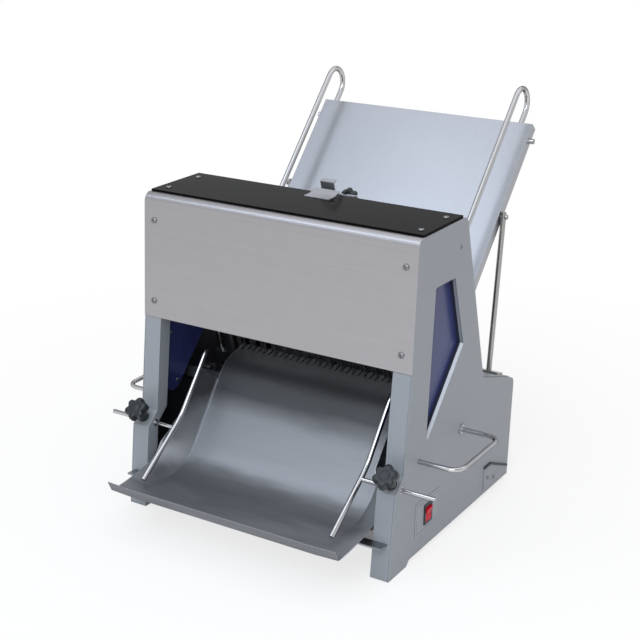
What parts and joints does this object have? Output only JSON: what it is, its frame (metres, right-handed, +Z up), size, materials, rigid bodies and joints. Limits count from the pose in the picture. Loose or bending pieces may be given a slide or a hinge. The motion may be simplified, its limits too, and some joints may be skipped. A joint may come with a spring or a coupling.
{
  "type": "bread slicer machine",
  "caption": "Bench bread slicer: a sloping infeed tray with hairpin rails, opposed blade frames driven by a crank, and a curved outfeed chute with loaf guides.",
  "frame": {"origin": "middle of the bounding box at floor level", "axes": "+X to the machine's right as seen from the outfeed side, +Y towards the infeed tray, +Z up"},
  "size_m": [0.698, 0.7462, 0.7178],
  "materials": {
    "panel_paint": "satin grey powder coat",
    "brushed_steel": "fine brushed stainless",
    "chute_steel": "satin stainless, grained",
    "tray_steel": "pale satin stainless",
    "inner_steel": "plain steel",
    "chrome_rod": "polished rod",
    "zinc_screw": "zinc plated",
    "blade_steel": "ground steel",
    "smoked_acrylic": "smoked, polished",
    "blue_acrylic": "blue, polished",
    "black_plastic": "moulded",
    "red_plastic": "moulded",
    "black_rubber": "matt",
    "cast_metal": "painted casting",
    "motor_paint": "satin paint"
  },
  "bodies": {
    "machine": {"left_side_panel": "panel_paint", "right_side_panel": "panel_paint", "base_plate": "inner_steel", "front_cover": "brushed_steel", "top_cover": "smoked_acrylic", "rear_header": "panel_paint", "rear_deck": "panel_paint", "rear_cover": "panel_paint", "left_window_panel": "blue_acrylic", "right_window_panel": "blue_acrylic", "outfeed_chute": "chute_steel", "chute_brackets": "chrome_rod", "chute_bar": "inner_steel", "guide_bushes": "inner_steel", "infeed_tray": "tray_steel", "tray_bar": "inner_steel", "rail_cross_rod": "chrome_rod", "left_strut": "chrome_rod", "right_strut": "chrome_rod", "strut_bolts": "zinc_screw", "hold_down_clip": "chrome_rod", "left_handle": "chrome_rod", "right_handle": "chrome_rod", "handle_nuts": "zinc_screw", "handle_washers": "black_rubber", "switch_plate": "panel_paint", "switch_housing": "black_plastic", "inlet_plate": "panel_paint", "inlet_edge_strip": "black_rubber", "guide_shafts": "chrome_rod", "shaft_brackets": "cast_metal", "crank_bearings": "cast_metal", "drive_belt": "black_rubber", "motor": "motor_paint", "cover_screws": "zinc_screw", "small_screws": "zinc_screw", "rear_feet": "black_rubber"},
    "left_guide": {"left_guide": "chrome_rod"},
    "right_guide": {"right_guide": "chrome_rod"},
    "left_guide_knob": {"left_guide_knob": "black_plastic"},
    "right_guide_knob": {"right_guide_knob": "black_plastic"},
    "left_rail": {"left_rail": "chrome_rod"},
    "right_rail": {"right_rail": "chrome_rod"},
    "hold_down": {"hold_down": "tray_steel"},
    "hold_down_knob": {"hold_down_knob": "black_plastic"},
    "switch_rocker": {"switch_rocker": "red_plastic"},
    "front_frame": {"front_blade_frame": "cast_metal", "front_blades": "blade_steel", "wrist_pins_front": "inner_steel"},
    "rear_frame": {"rear_blade_frame": "cast_metal", "rear_blades": "blade_steel", "wrist_pins_rear": "inner_steel"},
    "left_connecting_rod": {"left_connecting_rod": "cast_metal"},
    "right_connecting_rod": {"right_connecting_rod": "cast_metal"},
    "crank": {"crankshaft": "inner_steel", "crank_discs": "cast_metal", "crank_pulley": "cast_metal"},
    "motor_rotor": {"motor_shaft": "inner_steel", "motor_pulley": "cast_metal"},
    "crumb_drawer": {"crumb_drawer": "tray_steel"}
  },
  "joints": [
    {"name": "left_guide_slide", "type": "slide", "parent": "machine", "child": "left_guide", "axis": [1, 0, 0], "range_m": [0, 0.06]},
    {"name": "right_guide_slide", "type": "slide", "parent": "machine", "child": "right_guide", "axis": [-1, 0, 0], "range_m": [0, 0.06]},
    {"name": "left_knob_turn", "type": "hinge", "parent": "machine", "child": "left_guide_knob", "pos_m": [-0.255, -0.23675, 0.16126], "axis": [0, -0.6626, 0.749], "range_deg": [0, 360]},
    {"name": "right_knob_turn", "type": "hinge", "parent": "machine", "child": "right_guide_knob", "pos_m": [0.255, -0.23675, 0.16126], "axis": [0, -0.6626, 0.749], "range_deg": [0, 360]},
    {"name": "left_rail_slide", "type": "slide", "parent": "machine", "child": "left_rail", "axis": [1, 0, 0], "range_m": [-0.005, 0.12]},
    {"name": "right_rail_slide", "type": "slide", "parent": "machine", "child": "right_rail", "axis": [-1, 0, 0], "range_m": [-0.015, 0.12]},
    {"name": "hold_down_slide", "type": "slide", "parent": "machine", "child": "hold_down", "axis": [0, -0.2756, 0.9613], "range_m": [0, 0.045]},
    {"name": "hold_down_knob_turn", "type": "hinge", "parent": "machine", "child": "hold_down_knob", "pos_m": [0.033, -0.01566, 0.55767], "axis": [0, 0.9613, 0.2756], "range_deg": [0, 360]},
    {"name": "switch_rock", "type": "hinge", "parent": "machine", "child": "switch_rocker", "pos_m": [0.262, -0.13458, 0.071], "axis": [0, 1, 0], "range_deg": [-16, 0]},
    {"name": "front_frame_slide", "type": "slide", "parent": "machine", "child": "front_frame", "axis": [0, -0.2756, 0.9613], "range_m": [-0.04, 0]},
    {"name": "rear_frame_slide", "type": "slide", "parent": "machine", "child": "rear_frame", "axis": [0, -0.2756, 0.9613], "range_m": [0, 0.04]},
    {"name": "left_rod_swing", "type": "hinge", "parent": "front_frame", "child": "left_connecting_rod", "pos_m": [-0.202, -0.01103, 0.1722], "axis": [1, 0, 0], "range_deg": [-16, 16]},
    {"name": "right_rod_swing", "type": "hinge", "parent": "rear_frame", "child": "right_connecting_rod", "pos_m": [0.202, 0.02115, 0.13981], "axis": [1, 0, 0], "range_deg": [-16, 16]},
    {"name": "crank_turn", "type": "hinge", "parent": "machine", "child": "crank", "pos_m": [0, 0.02551, 0.08469], "axis": [1, 0, 0], "continuous": true},
    {"name": "motor_turn", "type": "hinge", "parent": "machine", "child": "motor_rotor", "pos_m": [0, 0.12542, 0.09], "axis": [1, 0, 0], "continuous": true},
    {"name": "drawer_slide", "type": "slide", "parent": "machine", "child": "crumb_drawer", "axis": [0, -1, 0], "range_m": [0, 0.12]}
  ],
  "couplings": [
    {"joint": "rear_frame_slide", "follows": "front_frame_slide", "ratio": -1},
    {"joint": "motor_turn", "follows": "crank_turn", "ratio": 2.3931}
  ]
}
